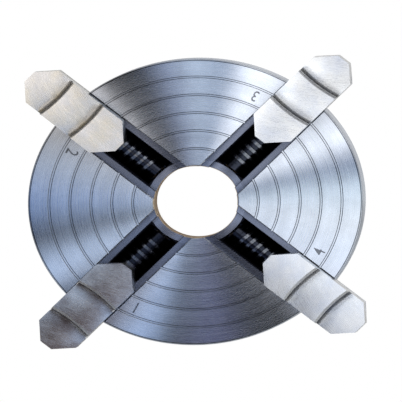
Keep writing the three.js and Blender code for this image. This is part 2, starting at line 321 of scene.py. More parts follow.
def tidy_faces(piece):
    """Merges doubles, drops faces of no size and points every face outwards."""
    start_editing(piece)
    bpy.ops.mesh.remove_doubles(threshold=1e-6)
    bpy.ops.mesh.dissolve_degenerate(threshold=1e-6)
    bpy.ops.mesh.select_all(action="SELECT")
    bpy.ops.mesh.normals_make_consistent(inside=False)
    stop_editing()


def ring_of_points(name, points, fill):
    """A circle whose corners are pushed out to an outline's points."""
    bpy.ops.object.select_all(action="DESELECT")
    bpy.ops.mesh.primitive_circle_add(vertices=len(points), radius=MM, fill_type=fill)
    piece = bpy.context.object
    piece.name = name
    for corner, point in zip(piece.data.vertices, points):
        corner.co = point
    return piece


def prism(name, outline, low, high):
    """Extrudes a flat outline up z from one height to another."""
    piece = ring_of_points(name, [(x, y, low) for x, y in outline], "NGON")
    start_editing(piece)
    bpy.ops.mesh.extrude_region_move(TRANSFORM_OT_translate={"value": (0, 0, high - low)})
    stop_editing()
    tidy_faces(piece)
    return piece


def spun(name, profile, steps=48):
    """Spins a closed profile of (radius, height) points round z."""
    piece = ring_of_points(name, [(r, 0, z) for r, z in profile], "NOTHING")
    start_editing(piece)
    bpy.ops.mesh.spin(steps=steps, angle=math.tau, center=(0, 0, 0), axis=(0, 0, 1))
    stop_editing()
    tidy_faces(piece)
    return piece


def rod(name, radius, low, high, steps=48):
    return spun(name, [(0, low), (radius, low), (radius, high), (0, high)], steps)


def threaded_rod(name, start, end, spare, steps):
    """A left-hand threaded rod up z. `spare` makes it fatter all round, as a nut's tool."""
    core = CORE_RADIUS + spare
    crest = CREST_RADIUS + spare
    half_root = ROOT_HALF_WIDTH + spare
    half_crest = CREST_HALF_WIDTH + spare
    first_turn = math.floor((start - THREAD_START_R) / THREAD_PITCH) - 2
    low = THREAD_START_R + first_turn * THREAD_PITCH
    turns = math.ceil((end - low) / THREAD_PITCH) + 2
    heights = [(core, -half_root), (crest, -half_crest), (crest, half_crest)]
    heights += [(core, half_root), (core, THREAD_PITCH - half_root)]
    piece = ring_of_points(name, [(r, 0, low + z) for r, z in heights], "NOTHING")
    start_editing(piece)
    bpy.ops.mesh.select_all(action="DESELECT")
    stop_editing()
    closing_edge = {0, len(heights) - 1}
    for edge in piece.data.edges:
        edge.select = set(edge.vertices) == closing_edge
    bpy.ops.object.mode_set(mode="EDIT")
    bpy.ops.mesh.select_mode(type="EDGE")
    bpy.ops.mesh.delete(type="EDGE")
    bpy.ops.mesh.select_mode(type="VERT")
    stop_editing()
    winding = piece.modifiers.new("winding", "SCREW")
    winding.axis = "Z"
    winding.angle = -math.tau
    winding.screw_offset = THREAD_PITCH
    winding.iterations = turns
    winding.steps = winding.render_steps = steps
    bpy.ops.object.modifier_apply(modifier=winding.name)
    tidy_faces(piece)
    start_editing(piece)
    bpy.ops.mesh.bisect(
        plane_co=(0, 0, start), plane_no=(0, 0, 1), use_fill=True, clear_inner=True
    )
    bpy.ops.mesh.select_all(action="SELECT")
    bpy.ops.mesh.bisect(
        plane_co=(0, 0, end), plane_no=(0, 0, 1), use_fill=True, clear_outer=True
    )
    stop_editing()
    tidy_faces(piece)
    return piece


def place(piece, matrix):
    """Moves a piece's mesh, leaving its object at the origin."""
    select_only(piece)
    piece.matrix_world = matrix @ piece.matrix_world
    bpy.ops.object.transform_apply(location=True, rotation=True, scale=True)
    return piece


def copied(piece, name):
    twin = piece.copy()
    twin.data = piece.data.copy()
    twin.name = name
    bpy.context.scene.collection.objects.link(twin)
    return twin


def combine(piece, tools, operation):
    """Cuts or joins all the tools at once, and uses them up."""
    bench = bpy.data.collections.new("bench")
    bpy.context.scene.collection.children.link(bench)
    for tool in tools:
        bench.objects.link(tool)
    work = piece.modifiers.new("work", "BOOLEAN")
    work.operation = operation
    work.solver = "EXACT"
    work.operand_type = "COLLECTION"
    work.collection = bench
    select_only(piece)
    bpy.ops.object.modifier_apply(modifier=work.name)
    for tool in tools:
        bpy.data.objects.remove(tool)
    bpy.data.collections.remove(bench)
    tidy_faces(piece)
    return piece


def cut(piece, *tools):
    return combine(piece, tools, "DIFFERENCE")


def join(piece, *tools):
    return combine(piece, tools, "UNION")


def at_station(tools, angle):
    """Copies tools to a station that stands at an angle from +x."""
    turn = Matrix.Rotation(angle, 4, "Z")
    return [place(copied(tool, tool.name), turn) for tool in tools]


def discard(tools):
    for tool in tools:
        bpy.data.objects.remove(tool)


def hexagon(across_flats):
    corner = across_flats / math.sqrt(3)
    turns = [i * math.tau / 6 for i in range(6)]
    return [(corner * math.cos(t), corner * math.sin(t)) for t in turns]


def arc(centre, radius, start, end, steps):
    """Points on an arc, with its angles in degrees."""
    angles = [math.radians(start + (end - start) * i / steps) for i in range(steps + 1)]
    return [
        (centre[0] + radius * math.cos(a), centre[1] + radius * math.sin(a))
        for a in angles
    ]


def smooth(piece, degrees=32):
    select_only(piece)
    bpy.ops.object.shade_smooth_by_angle(angle=math.radians(degrees))


def hand_over(piece, body, finish, node):
    """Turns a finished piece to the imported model's frame and lets it stand for its node."""
    place(piece, CHUCK_TO_ROW)
    smooth(piece)
    piece.data.materials.clear()
    piece.data.materials.append(finish)
    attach(piece, body)
    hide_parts(node)


# ---------------------------------------------------------------- materials

MATHS = "ShaderNodeMath"
VECTOR = "ShaderNodeVectorMath"
RANGE = "ShaderNodeMapRange"
NOISE = "ShaderNodeTexNoise"
MIX = "ShaderNodeMix"


def add(tree, kind, links=None, **settings):
    """Adds a node. `links` gives its inputs a value or another node's output."""
    node = tree.nodes.new(kind)
    for setting, value in settings.items():
        setattr(node, setting, value)
    for name, value in (links or {}).items():
        socket = node.inputs[name]
        if isinstance(value, bpy.types.NodeSocket):
            tree.links.new(value, socket)
        else:
            socket.default_value = value
    return node


def new_finish(name):
    """A material with its output and an empty shader, ready for its pattern."""
    finish = bpy.data.materials.new(name)
    finish.use_nodes = True
    tree = finish.node_tree
    tree.nodes.clear()
    shader = add(tree, "ShaderNodeBsdfPrincipled", {"Metallic": 1.0})
    add(tree, "ShaderNodeOutputMaterial", {"Surface": shader.outputs[0]})
    place_on_piece = add(tree, "ShaderNodeTexCoord").outputs["Object"]
    return finish, tree, shader, place_on_piece


def turned_iron(sizes, colours):
    """Fine-grained cast iron, faced on a lathe. The feed leaves circles that draw each
    highlight out across them. Painted shade darkens the rings' walls, the screw pockets and
    the slots, and the engraved figures are darkened."""
    finish, tree, shader, where = new_finish("turned_cast_iron")
    flat = add(tree, VECTOR, {0: where, 1: (1, 0, 1)}, operation="MULTIPLY").outputs[0]
    radius = add(tree, VECTOR, {0: flat}, operation="LENGTH").outputs["Value"]
    depth = add(tree, "ShaderNodeSeparateXYZ", {0: where}).outputs["Y"]

    # Feed marks stand 0.12 mm apart on the real face, and are drawn 0.9 mm apart to show.
    # Bands of them are 7 mm wide, stains are 12 mm across and the iron's grain is 0.8 mm.
    circles = add(tree, "ShaderNodeCombineXYZ", {"X": radius}).outputs[0]
    feed, broad, stain, grain = [
        add(
            tree, NOISE,
            {"Vector": pattern_place, "Scale": 1 / size, "Detail": detail, "Roughness": rough},
        ).outputs["Fac"]
        for pattern_place, size, detail, rough in (
            (circles, 0.9 * MM, 3.0, 0.7), (circles, 7 * MM, 2.0, 0.5),
            (where, 12 * MM, 5.0, 0.65), (where, 0.8 * MM, 2.0, 0.6),
        )
    ]

    # Painted shade: the pockets that hold the screws are painted black below the ledges.
    slot_depth = add(
        tree, RANGE,
        {
            "Value": depth,
            "From Min": -(FACE_Z - TONGUE_FRONT_DEPTH + 0.4 * MM),
            "From Max": -(FACE_Z - TONGUE_FRONT_DEPTH - 1.2 * MM),
        },
    ).outputs["Result"]
    inside_rim = add(
        tree, MATHS, {0: radius, 1: BODY_RADIUS - 0.7 * MM}, operation="LESS_THAN"
    ).outputs[0]
    in_front_of_back = add(
        tree, MATHS, {0: depth, 1: -(RIM_BACK_Z + 2 * MM)}, operation="LESS_THAN"
    ).outputs[0]
    outside_bore = add(
        tree, MATHS, {0: radius, 1: CHANNEL_INNER_R}, operation="GREATER_THAN"
    ).outputs[0]
    deep = slot_depth
    for mask in (inside_rim, in_front_of_back, outside_bore):
        deep = add(tree, MATHS, {0: deep, 1: mask}, operation="MULTIPLY").outputs[0]
    in_bore = add(
        tree, MATHS, {0: radius, 1: BORE_RADIUS + 0.3 * MM}, operation="LESS_THAN"
    ).outputs[0]

    # The engraved figures' floors are darkened, and painted shade darkens the walls of the
    # rings, but not the rings' floors.
    margin = 0.02 * MM
    ring_walls = (0.03 * MM, sizes.ring_depth - margin)
    figure_floors = (sizes.ring_depth + margin, sizes.figure_depth + margin)
    grime = 0.0
    for top, bottom in (ring_walls, figure_floors):
        there = add(
            tree, MATHS,
            {0: depth, 1: (top + bottom) / 2 - FACE_Z, 2: (bottom - top) / 2},
            operation="COMPARE",
        ).outputs[0]
        grime = add(tree, MATHS, {0: there, 1: grime}, operation="ADD").outputs[0]
    for mask in (inside_rim, outside_bore, colours.grime):
        grime = add(tree, MATHS, {0: grime, 1: mask}, operation="MULTIPLY").outputs[0]
    # The slots are cut by milling, not turned: all that is sunk below the face takes a darker
    # colour, partly for that finish and partly as painted shade.
    milled_and_shaded = add(
        tree, MATHS, {0: depth, 1: sizes.figure_depth + 0.05 * MM - FACE_Z},
        operation="GREATER_THAN",
    ).outputs[0]
    for mask in (inside_rim, in_front_of_back):
        milled_and_shaded = add(tree, MATHS, {0: milled_and_shaded, 1: mask}, operation="MULTIPLY").outputs[0]

    tone = 1.0
    for pattern, low, high, tone_low, tone_high in (
        (broad, 0.3, 0.7, 0.9, 1.04), (feed, 0.3, 0.7, 0.84, 1.08),
        (stain, 0.35, 0.75, 1.0, 0.84),
    ):
        share = add(
            tree, RANGE,
            {
                "Value": pattern, "From Min": low, "From Max": high,
                "To Min": tone_low, "To Max": tone_high,
            },
        ).outputs["Result"]
        tone = add(tree, MATHS, {0: share, 1: tone}, operation="MULTIPLY").outputs[0]
    iron = add(
        tree, VECTOR, {0: tuple(colours.iron), "Scale": tone}, operation="SCALE"
    ).outputs[0]
    iron = add(
        tree, MIX,
        {"Factor": milled_and_shaded, 6: iron, 7: (*colours.milled_iron, 1)}, data_type="RGBA",
    ).outputs[2]
    colour = add(
        tree, MIX,
        {"Factor": in_bore, 6: iron, 7: (*colours.bore_tan, 1)}, data_type="RGBA",
    ).outputs[2]
    # Painted shade in the ring walls and the screw pockets, and the darkened figures, go on in
    # the shade black.
    dark = add(tree, MATHS, {0: grime, 1: deep}, operation="MAXIMUM").outputs[0]
    colour = add(
        tree, MIX,
        {"Factor": dark, 6: colour, 7: (*colours.slot_black, 1)}, data_type="RGBA",
    ).outputs[2]
    tree.links.new(colour, shader.inputs["Base Color"])

    rough = add(
        tree, RANGE,
        {"Value": feed, "From Min": 0.25, "From Max": 0.75, "To Min": 0.22, "To Max": 0.32},
    ).outputs["Result"]
    rough = add(
        tree, MIX, {"Factor": in_bore, 2: rough, 3: 0.6}, data_type="FLOAT"
    ).outputs[0]
    tree.links.new(rough, shader.inputs["Roughness"])
    metal = add(tree, MATHS, {0: 1.0, 1: in_bore}, operation="SUBTRACT").outputs[0]
    tree.links.new(metal, shader.inputs["Metallic"])
    shader.inputs["Anisotropic"].default_value = 1.0

    # The highlight runs across the circles: along the radius on the face, and along the
    # axis on the rim and in the bore.
    circling = add(
        tree, VECTOR, {0: (0, 1, 0), 1: flat}, operation="CROSS_PRODUCT"
    ).outputs[0]
    normal = add(tree, "ShaderNodeNewGeometry").outputs["Normal"]
    across = add(tree, VECTOR, {0: circling, 1: normal}, operation="CROSS_PRODUCT").outputs[0]
    across = add(tree, VECTOR, {0: across}, operation="NORMALIZE").outputs[0]
    tree.links.new(across, shader.inputs["Tangent"])

    height = add(tree, MATHS, {0: feed, 1: grain}, operation="ADD").outputs[0]
    bump = add(
        tree, "ShaderNodeBump",
        {"Height": height, "Strength": 0.16, "Distance": 0.02 * MM},
    ).outputs[0]
    tree.links.new(bump, shader.inputs["Normal"])
    return finish


# Each jaw's way round on the grinder, in degrees, the tone of its smudge patches, which on
# jaw 1 is a painted reflection, and how dark the painted shade in its grooves is.
JAW_GRINDING = {
    1: (62, "6E564E", 0.0),
    2: (30, "D6CDB4", 0.25),
    3: (75, "B4BAC8", 0.35),
    4: (20, "B2B8C4", 0.25),
}
# How dark the painted shade on the risers' chamfers is.
CHAMFER_SHADE = 0.3


def ground_steel(sizes, colours, number):
    """Hardened steel, ground flat on a cup wheel. The wheel leaves long shallow arcs, and
    each jaw was laid down its own way round, so its arcs run their own way. Painted shade
    darkens the grooves at the feet of the risers and the chamfers above them."""
    finish, tree, shader, where = new_finish(f"surface_ground_steel_{number}")
    streak_degrees, smudge_and_reflection_tone, groove_shade = JAW_GRINDING[number]
    # The wheel's centre lies 120 mm off the jaw's middle, square to the streaks.
    outward = Vector(JOINTS[f"jaw_{number}_slide"]["axis"])
    streak_angle = math.radians(streak_degrees)
    wheel_way = Vector((math.cos(streak_angle), 0, math.sin(streak_angle)))
    wheel = (JAW_NOSE_R + JAW_LENGTH / 2) * outward + 120 * MM * wheel_way
    from_wheel = add(
        tree, VECTOR, {0: where, 1: tuple(wheel)}, operation="SUBTRACT"
    ).outputs[0]
    flat = add(tree, VECTOR, {0: from_wheel, 1: (1, 0, 1)}, operation="MULTIPLY").outputs[0]
    radius = add(tree, VECTOR, {0: flat}, operation="LENGTH").outputs["Value"]
    depth = add(tree, "ShaderNodeSeparateXYZ", {0: where}).outputs["Y"]
    # Scratches 0.05 mm wide are drawn 0.45 mm wide to show, and run on for 13 times that.
    # Bands of them are 6 mm wide, and smudge patches, on jaw 1 a painted reflection, 14 mm
    # across.
    ways = add(tree, "ShaderNodeSeparateXYZ", {0: flat})
    round_wheel = add(
        tree, MATHS, {0: ways.outputs["Z"], 1: ways.outputs["X"]}, operation="ARCTAN2"
    ).outputs[0]
    stretched = add(tree, MATHS, {0: round_wheel, 1: 9 * MM}, operation="MULTIPLY").outputs[0]
    scratch_place = add(
        tree, "ShaderNodeCombineXYZ", {"X": radius, "Y": stretched, "Z": depth}
    ).outputs[0]
    scratches, bands, smudge_and_reflection_patches = [
        add(
            tree, NOISE,
            {"Vector": pattern_place, "Scale": 1 / size, "Detail": detail, "Roughness": rough},
        ).outputs["Fac"]
        for pattern_place, size, detail, rough in (
            (scratch_place, 0.45 * MM, 3.0, 0.6), (scratch_place, 6 * MM, 2.0, 0.5),
            (where, 14 * MM, 4.0, 0.6),
        )
    ]
    tone = 1.0
    for pattern, tone_low, tone_high in ((scratches, 0.93, 1.03), (bands, 0.92, 1.04)):
        share = add(
            tree, RANGE,
            {
                "Value": pattern, "From Min": 0.3, "From Max": 0.7,
                "To Min": tone_low, "To Max": tone_high,
            },
        ).outputs["Result"]
        tone = add(tree, MATHS, {0: share, 1: tone}, operation="MULTIPLY").outputs[0]
    steel = add(
        tree, VECTOR, {0: tuple(colours.jaw_steel), "Scale": tone}, operation="SCALE"
    ).outputs[0]
    # The smudge tone goes on in patches: on jaw 1 it paints a pink reflection.
    smudge_and_reflection_share = add(
        tree, RANGE,
        {"Value": smudge_and_reflection_patches, "From Min": 0.4, "From Max": 0.75, "To Min": 0.0, "To Max": 0.65},
    ).outputs["Result"]
    colour = add(
        tree, MIX,
        {"Factor": smudge_and_reflection_share, 6: steel, 7: (*linear(smudge_and_reflection_tone), 1)}, data_type="RGBA",
    ).outputs[2]
    margin = 0.06 * MM
    relief_half = sizes.relief_width / 2
    groove_half = sizes.relief_depth / 2
    chamfer_half = sizes.riser_chamfer / 2
    drop_half = CHAMFER_SLOPE * chamfer_half
    groove_and_chamfer_shade = 0.0
    for step, start in enumerate(JAW_STEP_STARTS):
        centre = (JAW_NOSE_R + start + RISER_RADIUS) * outward
        away = add(tree, VECTOR, {0: where, 1: tuple(centre)}, operation="SUBTRACT")
        away = add(tree, VECTOR, {0: away.outputs[0], 1: (1, 0, 1)}, operation="MULTIPLY")
        away = add(tree, VECTOR, {0: away.outputs[0]}, operation="LENGTH").outputs["Value"]
        edge = JAW_TOP - step * JAW_STEP_DROP
        floor = edge - JAW_STEP_DROP
        # Each mark: its middle from the riser's centre, its middle height, half its width,
        # half its depth, and how dark it is.
        # Painted shade: the groove at the riser's foot and the chamfer at its top are
        # darkened.
        groove = (
            RISER_RADIUS - relief_half, floor - groove_half - margin,
            relief_half + margin, groove_half, groove_shade,
        )
        chamfer = (
            RISER_RADIUS + chamfer_half, edge - drop_half - margin,
            chamfer_half + margin, drop_half, CHAMFER_SHADE,
        )
        for radius_there, height, half_width, half_depth, darkness in (groove, chamfer):
            mark = add(
                tree, MATHS, {0: away, 1: radius_there, 2: half_width}, operation="COMPARE"
            ).outputs[0]
            level = add(
                tree, MATHS, {0: depth, 1: -height, 2: half_depth}, operation="COMPARE"
            ).outputs[0]
            for share in (level, darkness):
                mark = add(tree, MATHS, {0: mark, 1: share}, operation="MULTIPLY").outputs[0]
            groove_and_chamfer_shade = add(tree, MATHS, {0: mark, 1: groove_and_chamfer_shade}, operation="ADD").outputs[0]
    # The painted shade in the grooves and on the chamfers goes on in the shade black.
    colour = add(
        tree, MIX,
        {"Factor": groove_and_chamfer_shade, 6: colour, 7: (*colours.slot_black, 1)}, data_type="RGBA",
    ).outputs[2]
    tree.links.new(colour, shader.inputs["Base Color"])
    rough = add(
        tree, RANGE,
        {"Value": scratches, "From Min": 0.3, "From Max": 0.7, "To Min": 0.22, "To Max": 0.34},
    ).outputs["Result"]
    tree.links.new(rough, shader.inputs["Roughness"])
    shader.inputs["Anisotropic"].default_value = 0.7
    across = add(tree, VECTOR, {0: flat}, operation="NORMALIZE").outputs[0]
    tree.links.new(across, shader.inputs["Tangent"])
    bump = add(
        tree, "ShaderNodeBump",
        {"Height": scratches, "Strength": 0.06, "Distance": 0.02 * MM},
    ).outputs[0]
    tree.links.new(bump, shader.inputs["Normal"])
    return finish


def blackened_steel(settings, number):
    """Turned steel blackened in hot oil. The jaw has worn the thread's crests bright."""
    finish, tree, shader, where = new_finish(f"oil_blackened_steel_{number}")
    joint = JOINTS[f"screw_{number}_spin"]
    from_axis = add(
        tree, VECTOR, {0: where, 1: tuple(joint["pos_m"])}, operation="SUBTRACT"
    ).outputs[0]
    across = add(
        tree, VECTOR, {0: from_axis, 1: tuple(joint["axis"])}, operation="CROSS_PRODUCT"
    ).outputs[0]
    radius = add(tree, VECTOR, {0: across}, operation="LENGTH").outputs["Value"]
    # The black finish is patchy, over about 2.5 mm.
    patches = add(
        tree, NOISE,
        {"Vector": where, "Scale": 1 / (2.5 * MM), "Detail": 4.0, "Roughness": 0.7},
    ).outputs["Fac"]
    worn = add(
        tree, RANGE,
        {
            "Value": radius,
            "From Min": CREST_RADIUS - 0.3 * MM, "From Max": CREST_RADIUS + 0.3 * MM,
            "To Max": 0.6,
        },
    ).outputs["Result"]
    worn = add(tree, MATHS, {0: worn, 1: patches}, operation="MULTIPLY").outputs[0]
    colour = add(
        tree, MIX,
        {"Factor": worn, 6: (*settings.screw_black, 1), 7: (*settings.screw_bright, 1)},
        data_type="RGBA",
    ).outputs[2]
    tree.links.new(colour, shader.inputs["Base Color"])
    rough = add(
        tree, RANGE,
        {"Value": patches, "From Min": 0.3, "From Max": 0.7, "To Min": 0.14, "To Max": 0.28},
    ).outputs["Result"]
    tree.links.new(rough, shader.inputs["Roughness"])
    bump = add(
        tree, "ShaderNodeBump",
        {"Height": patches, "Strength": 0.15, "Distance": 0.05 * MM},
    ).outputs[0]
    tree.links.new(bump, shader.inputs["Normal"])
    return finish


def machined_steel(settings):
    """Plain machined steel, lightly oiled and gone a little dull."""
    finish, tree, shader, where = new_finish("oiled_machined_steel")
    # Blotches are 4 mm across. Tool marks, really 0.1 mm apart, are drawn 0.4 mm apart.
    blotches = add(
        tree, NOISE,
        {"Vector": where, "Scale": 1 / (4 * MM), "Detail": 5.0, "Roughness": 0.65},
    ).outputs["Fac"]
    tool_marks = add(
        tree, NOISE,
        {"Vector": where, "Scale": 1 / (0.4 * MM), "Detail": 2.0, "Roughness": 0.6},
    ).outputs["Fac"]
    tone = add(
        tree, RANGE,
        {"Value": blotches, "From Min": 0.3, "From Max": 0.7, "To Min": 0.75, "To Max": 1.1},
    ).outputs["Result"]
    colour = add(
        tree, VECTOR,
        {0: tuple(settings.fitting_steel), "Scale": tone}, operation="SCALE",
    ).outputs[0]
    tree.links.new(colour, shader.inputs["Base Color"])
    rough = add(
        tree, RANGE,
        {"Value": blotches, "From Min": 0.3, "From Max": 0.7, "To Min": 0.28, "To Max": 0.45},
    ).outputs["Result"]
    tree.links.new(rough, shader.inputs["Roughness"])
    bump = add(
        tree, "ShaderNodeBump",
        {"Height": tool_marks, "Strength": 0.12, "Distance": 0.03 * MM},
    ).outputs[0]
    tree.links.new(bump, shader.inputs["Normal"])
    return finish


# ---------------------------------------------------------------- body


def body_profile(settings):
    """Half the section of the turned body, from the bore round by the back to the face."""
    floor_radius = RECESS_RADIUS - RECESS_DEPTH * math.tan(RECESS_HALF_ANGLE)
    edge = 1 * MM
    rim_edge = 1.5 * MM
    fillet = 2 * MM
    profile = [(BORE_RADIUS, RECESS_DEPTH), (floor_radius, RECESS_DEPTH)]
    profile += [(RECESS_RADIUS - 0.06 * MM, 0.5 * MM), (RECESS_RADIUS + 0.4 * MM, 0)]
    profile += [(HUB_RADIUS - edge, 0), (HUB_RADIUS, edge)]
    corner = (HUB_RADIUS + fillet, RIM_BACK_Z - fillet)
    profile += arc(corner, fillet, 180, 90, 6)
    back_corner = (BODY_RADIUS - rim_edge, RIM_BACK_Z + rim_edge)
    profile += arc(back_corner, rim_edge, -90, 0, 4)
    front_corner = (BODY_RADIUS - rim_edge, FACE_Z - rim_edge)
    profile += arc(front_corner, rim_edge, 0, 90, 5)
    half = settings.ring_width / 2
    floor_half = half - settings.ring_depth
    floor = FACE_Z - settings.ring_depth
    for i in reversed(range(settings.ring_count)):
        radius = settings.first_ring + i * settings.ring_step
        profile += [(radius + half, FACE_Z), (radius + floor_half, floor)]
        profile += [(radius - floor_half, floor), (radius - half, FACE_Z)]
    profile += [(BORE_RADIUS + edge, FACE_Z), (BORE_RADIUS, FACE_Z - edge)]
    return profile


def slot_tools(settings):
    """What the slot milling and the drills take away at one jaw station."""
    chamfer = settings.slot_chamfer
    ledge = FACE_Z - TONGUE_FRONT_DEPTH
    undercut = FACE_Z - TONGUE_BACK_DEPTH
    floor = FACE_Z - SLOT_DEPTH
    ledge_edge = 0.4 * MM
    side = [
        (SLOT_HALF_WIDTH + chamfer + BEYOND, FACE_Z + BEYOND),
        (SLOT_HALF_WIDTH, FACE_Z - chamfer),
        (SLOT_HALF_WIDTH, ledge),
        (TONGUE_HALF_GAP + ledge_edge, ledge),
        (TONGUE_HALF_GAP, ledge - ledge_edge),
        (TONGUE_HALF_GAP, undercut),
        (SLOT_HALF_WIDTH, undercut),
        (SLOT_HALF_WIDTH, floor),
    ]
    outline = side + [(-y, z) for y, z in reversed(side)]
    near = BORE_RADIUS - 10 * MM
    far = BODY_RADIUS + 10 * MM
    slot = place(prism("slot_tool", outline, near, far), ALONG_X)
    channel = rod("channel_tool", CHANNEL_RADIUS, CHANNEL_INNER_R, far)
    place(channel, ON_SCREW_AXIS)
    plug_hole = rod("plug_tool", PLUG_RADIUS + GAP, RIM_BACK_Z - BEYOND, SCREW_Z)
    place(plug_hole, Matrix.Translation((PLUG_R, 0, 0)))
    top = RIM_BACK_Z + SET_SCREW_LENGTH + 2 * GAP
    grub_hole = rod("grub_tool", SET_SCREW_RADIUS + 0.1 * MM, RIM_BACK_Z - BEYOND, top, 24)
    place(grub_hole, Matrix.Translation((PLUG_R, PLUG_RADIUS + GAP, 0)))
    return [slot, channel, plug_hole, grub_hole]


def stud_tools():
    """The stepped hole for a stud, with a countersunk mouth, and its lock screw's hole."""
    mouth = STUD_RADIUS + GAP
    stud_hole = spun(
        "stud_tool",
        [
            (0, -BEYOND), (mouth + 0.5 * MM + BEYOND, -BEYOND), (mouth, 0.5 * MM),
            (mouth, STUD_SEAT_DEPTH + GAP), (STUD_THREAD_RADIUS + GAP, STUD_SEAT_DEPTH + GAP),
            (STUD_THREAD_RADIUS + GAP, STUD_THREAD_END + GAP), (0, STUD_THREAD_END + GAP),
        ],
    )
    head = LOCK_HEAD_RADIUS + GAP
    shank = LOCK_SHANK_RADIUS + GAP
    lock_hole = spun(
        "lock_tool",
        [
            (0, -BEYOND), (head, -BEYOND), (head, LOCK_HEAD_HEIGHT + 2 * GAP),
            (shank, LOCK_HEAD_HEIGHT + 2 * GAP), (shank, LOCK_END + GAP), (0, LOCK_END + GAP),
        ],
        32,
    )
    place(stud_hole, Matrix.Translation((STUD_CIRCLE_RADIUS, 0, 0)))
    place(lock_hole, Matrix.Translation((STUD_CIRCLE_RADIUS + LOCK_OFFSET, 0, 0)))
    return [stud_hole, lock_hole]


def figure_tool(settings, number):
    """An engraving tool in the shape of a jaw's number, its top towards the bore."""
    bpy.ops.object.select_all(action="DESELECT")
    bpy.ops.object.text_add()
    figure = bpy.context.object
    figure.data.body = str(number)
    figure.data.align_x = "CENTER"
    figure.data.align_y = "CENTER"
    figure.data.resolution_u = 3
    figure.data.offset = 0.004
    figure.data.extrude = settings.figure_depth
    bpy.ops.object.convert(target="MESH")
    low, high = Vector(figure.bound_box[0]), Vector(figure.bound_box[6])
    middle = (low + high) / 2
    size = settings.figure_height / (high - low).y
    turn = JAW_ANGLES[number] + settings.figure_turn
    stand = Vector((math.cos(turn), math.sin(turn), 0)) * settings.figure_circle
    stand.z = FACE_Z
    figure.data.transform(Matrix.Translation(-middle))
    figure.scale = (0.8 * size, size, 1)
    place(
        figure,
        Matrix.Translation(stand) @ Matrix.Rotation(turn + math.pi / 2, 4, "Z"),
    )
    tidy_faces(figure)
    return figure


class CHUCK_OT_body(bpy.types.Operator):
    """Model the turned body with its slots, holes, rings and jaw numbers"""

    bl_idname = "chuck.body"
    bl_label = "Body"

    def execute(self, context):
        settings = context.scene.chuck.body
        body = spun("chuck_body_casting", body_profile(settings), 192)
        station = slot_tools(settings)
        tools = []
        for angle in JAW_ANGLES.values():
            tools += at_station(station, angle)
        studs = stud_tools()
        for angle in STUD_ANGLES:
            tools += at_station(studs, math.radians(angle))
        discard(station + studs)
        cut(body, *tools)
        cut(body, *[figure_tool(settings, number) for number in JAW_NUMBERS])
        finish = turned_iron(settings, context.scene.chuck.finish)
        hand_over(body, "chuck_body", finish, "body")
        return {"FINISHED"}


# ---------------------------------------------------------------- screws


def screw_blank():
    """The screw's turned shape, without its thread, up z from the chuck's axis."""
    end = 1 * MM
    profile = [
        (0, SCREW_INNER_R), (CORE_RADIUS - end, SCREW_INNER_R),
        (CORE_RADIUS, SCREW_INNER_R + end),
        (CORE_RADIUS, NECK_START_R), (NECK_RADIUS, NECK_START_R),
        (NECK_RADIUS, NECK_END_R), (CORE_RADIUS, NECK_END_R),
        (CORE_RADIUS, SCREW_OUTER_R - 0.5 * MM), (CORE_RADIUS - 0.5 * MM, SCREW_OUTER_R),
        (0, SCREW_OUTER_R),
    ]
    return spun("screw", profile, 64)


class CHUCK_OT_screws(bpy.types.Operator):
    """Model the left-hand jaw screws with their necks and square key sockets"""

    bl_idname = "chuck.screws"
    bl_label = "Jaw screws"

    def execute(self, context):
        screw = screw_blank()
        thread = threaded_rod("thread", THREAD_START_R, NECK_START_R, 0.05 * MM, 48)
        join(screw, thread)
        half = KEY_SOCKET_HALF
        square = [(half, half), (-half, half), (-half, -half), (half, -half)]
        cut(screw, prism("key_tool", square, SOCKET_FLOOR_R, SCREW_OUTER_R + BEYOND))
        place(screw, ON_SCREW_AXIS)
        for number in JAW_NUMBERS:
            [piece] = at_station([screw], JAW_ANGLES[number])
            piece.name = f"jaw_screw_{number}"
            finish = blackened_steel(context.scene.chuck.finish, number)
            hand_over(
                piece, f"screw_{number}", finish, f"screw_{number}"
            )
        discard([screw])
        return {"FINISHED"}


# ---------------------------------------------------------------- jaws


def riser_arc(start, radius, steps):
    """The riser's concave line across the jaw, bowing towards the chuck's axis."""
    centre = JAW_NOSE_R + start + RISER_RADIUS
    half = math.degrees(math.asin((JAW_HALF_WIDTH + BEYOND) / radius))
    return arc((centre, 0), radius, 180 - half, 180 + half, steps)


def step_tools(settings, step):
    """Takes the jaw down to its next flat and grooves the foot of the riser."""
    start = JAW_STEP_STARTS[step]
    floor = JAW_TOP - (step + 1) * JAW_STEP_DROP
    far = JAW_NOSE_R + JAW_LENGTH + BEYOND
    wide = JAW_HALF_WIDTH + BEYOND
    above = riser_arc(start, RISER_RADIUS, 24) + [(far, -wide), (far, wide)]
    clearing = prism("clearing_tool", above, floor, JAW_TOP + BEYOND)
    top = RISER_RADIUS - settings.relief_width
    relief = spun(
        "relief_tool",
        [
            (RISER_RADIUS, floor + BEYOND), (RISER_RADIUS, floor - settings.relief_depth),
            (top, floor), (top, floor + BEYOND),
        ],
        192,
    )
    edge = floor + JAW_STEP_DROP
    wide = settings.riser_chamfer
    tall = CHAMFER_SLOPE * wide
    chamfer = spun(
        "chamfer_tool",
        [
            (RISER_RADIUS - wide, edge - 2 * tall), (RISER_RADIUS + 2 * wide, edge + tall),
            (RISER_RADIUS - wide, edge + tall),
        ],
        192,
    )
    riser_centre = Matrix.Translation((JAW_NOSE_R + start + RISER_RADIUS, 0, 0))
    return [clearing, place(relief, riser_centre), place(chamfer, riser_centre)]


def jaw_outline():
    nose_cut = JAW_HALF_WIDTH - JAW_NOSE_HALF_FLAT
    tip_cut = JAW_HALF_WIDTH - JAW_TIP_HALF_FLAT
    tip = JAW_NOSE_R + JAW_LENGTH
    side = [
        (JAW_NOSE_R, JAW_NOSE_HALF_FLAT), (JAW_NOSE_R + nose_cut, JAW_HALF_WIDTH),
        (tip - tip_cut, JAW_HALF_WIDTH), (tip, JAW_TIP_HALF_FLAT),
    ]
    return [(x, -y) for x, y in side] + side[::-1]


